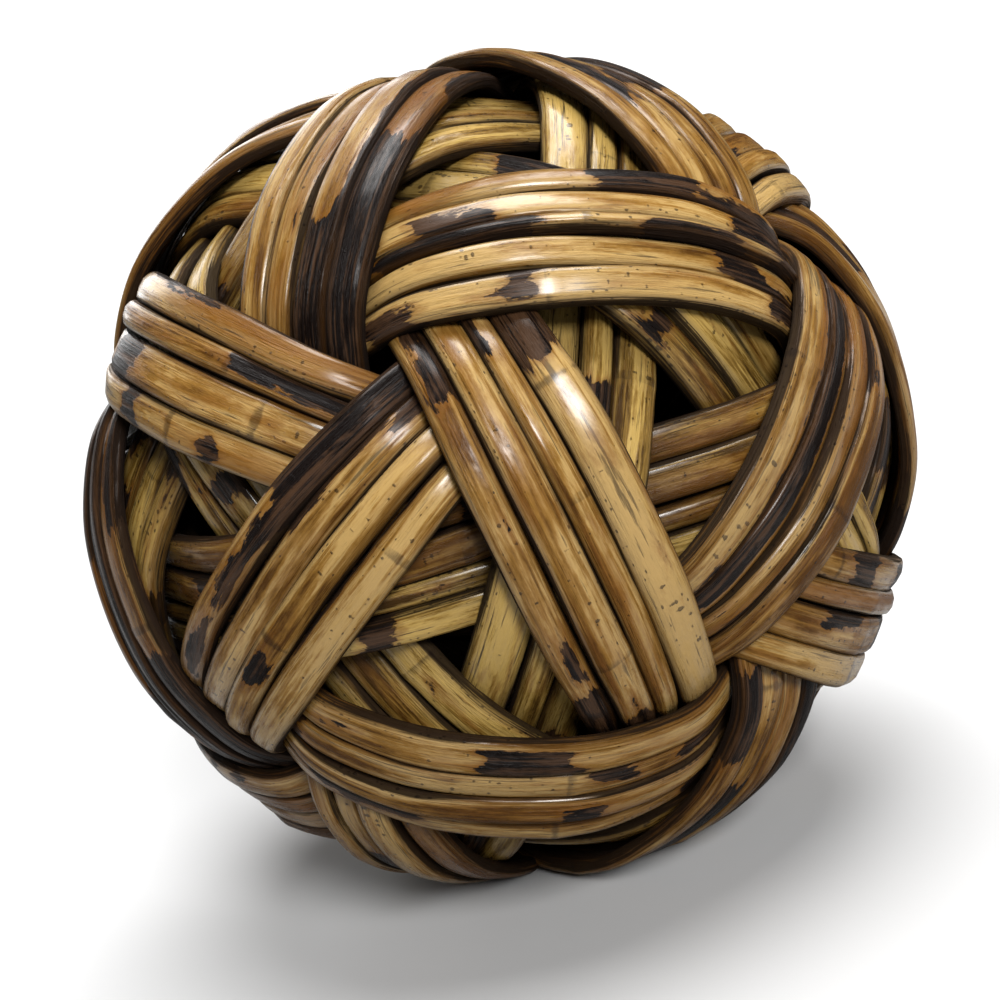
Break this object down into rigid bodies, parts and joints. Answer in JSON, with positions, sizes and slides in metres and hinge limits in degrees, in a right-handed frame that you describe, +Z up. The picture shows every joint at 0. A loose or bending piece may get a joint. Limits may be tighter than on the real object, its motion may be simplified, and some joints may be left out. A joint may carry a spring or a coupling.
{
  "type": "woven rattan ball",
  "caption": "Hollow decorative ball woven from closed hoops of split rattan cane, with five-way pinwheels, small triangular openings and small flats underneath so that it stays put.",
  "frame": {"origin": "centre of the underside of the bounding box, on the floor under the ball", "axes": "+Z up through the middle of the ball, from the pinwheel that it rests on to the one on top; -Y is the side seen first; X and Y are level"},
  "size_m": [0.1986, 0.198, 0.1918],
  "materials": {
    "outer_cane": "varnished split rattan, tan to honey with patches of dark bark, satin to gloss",
    "inner_cane": "varnished split rattan, yellower and more olive than the outer canes, satin"
  },
  "bodies": {
    "root": {"outer_ring_1_cane_1": "outer_cane", "outer_ring_1_cane_2": "outer_cane", "outer_ring_1_cane_3": "outer_cane", "outer_ring_1_cane_4": "outer_cane", "outer_ring_2_cane_1": "outer_cane", "outer_ring_2_cane_2": "outer_cane", "outer_ring_2_cane_3": "outer_cane", "outer_ring_2_cane_4": "outer_cane", "outer_ring_3_cane_1": "outer_cane", "outer_ring_3_cane_2": "outer_cane", "outer_ring_3_cane_3": "outer_cane", "outer_ring_3_cane_4": "outer_cane", "outer_ring_4_cane_1": "outer_cane", "outer_ring_4_cane_2": "outer_cane", "outer_ring_4_cane_3": "outer_cane", "outer_ring_4_cane_4": "outer_cane", "outer_ring_5_cane_1": "outer_cane", "outer_ring_5_cane_2": "outer_cane", "outer_ring_5_cane_3": "outer_cane", "outer_ring_5_cane_4": "outer_cane", "outer_ring_5_cane_5": "outer_cane", "outer_ring_6_cane_1": "outer_cane", "outer_ring_6_cane_2": "outer_cane", "outer_ring_6_cane_3": "outer_cane", "outer_ring_6_cane_4": "outer_cane", "outer_ring_7_cane_1": "outer_cane", "outer_ring_7_cane_2": "outer_cane", "outer_ring_7_cane_3": "outer_cane", "outer_ring_7_cane_4": "outer_cane", "outer_ring_8_cane_1": "outer_cane", "outer_ring_8_cane_2": "outer_cane", "outer_ring_8_cane_3": "outer_cane", "outer_ring_8_cane_4": "outer_cane", "outer_ring_9_cane_1": "outer_cane", "outer_ring_9_cane_2": "outer_cane", "outer_ring_9_cane_3": "outer_cane", "outer_ring_9_cane_4": "outer_cane", "outer_ring_10_cane_1": "outer_cane", "outer_ring_10_cane_2": "outer_cane", "outer_ring_10_cane_3": "outer_cane", "outer_ring_10_cane_4": "outer_cane", "inner_ring_1_cane_1": "inner_cane", "inner_ring_1_cane_2": "inner_cane", "inner_ring_1_cane_3": "inner_cane", "inner_ring_1_cane_4": "inner_cane", "inner_ring_2_cane_1": "inner_cane", "inner_ring_2_cane_2": "inner_cane", "inner_ring_2_cane_3": "inner_cane", "inner_ring_3_cane_1": "inner_cane", "inner_ring_3_cane_2": "inner_cane", "inner_ring_3_cane_3": "inner_cane", "inner_ring_4_cane_1": "inner_cane", "inner_ring_4_cane_2": "inner_cane", "inner_ring_4_cane_3": "inner_cane", "inner_ring_5_cane_1": "inner_cane", "inner_ring_5_cane_2": "inner_cane", "inner_ring_5_cane_3": "inner_cane", "inner_ring_6_cane_1": "inner_cane", "inner_ring_6_cane_2": "inner_cane", "inner_ring_6_cane_3": "inner_cane"}
  },
  "joints": []
}
